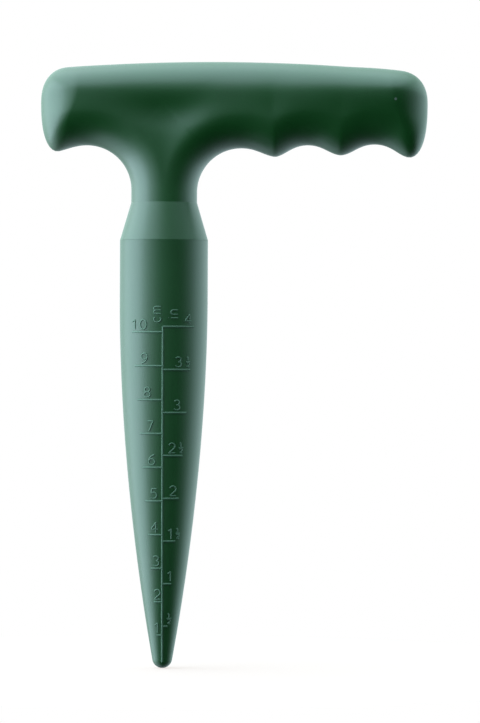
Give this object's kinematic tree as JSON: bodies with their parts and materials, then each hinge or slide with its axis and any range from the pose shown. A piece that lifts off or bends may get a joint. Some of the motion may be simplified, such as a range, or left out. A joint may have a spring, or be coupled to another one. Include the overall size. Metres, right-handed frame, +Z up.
{
  "type": "garden dibber",
  "caption": "One-handed garden dibber: a tapered round spike with raised depth marks under an offset T grip with finger hollows, for making planting holes in soil.",
  "frame": {"origin": "the tip of the spike, which is the zero of its depth scale", "axes": "+Z up the axis of the spike towards the grip, +X along the long arm of the grip, -Y towards the depth scale"},
  "size_m": [0.1152, 0.0264, 0.1806],
  "materials": {
    "spike": "satin dark green moulded plastic",
    "grip": "satin dark green moulded plastic"
  },
  "bodies": {
    "root": {"spike": "spike", "grip_front_shell": "grip", "grip_rear_shell": "grip"}
  },
  "joints": []
}
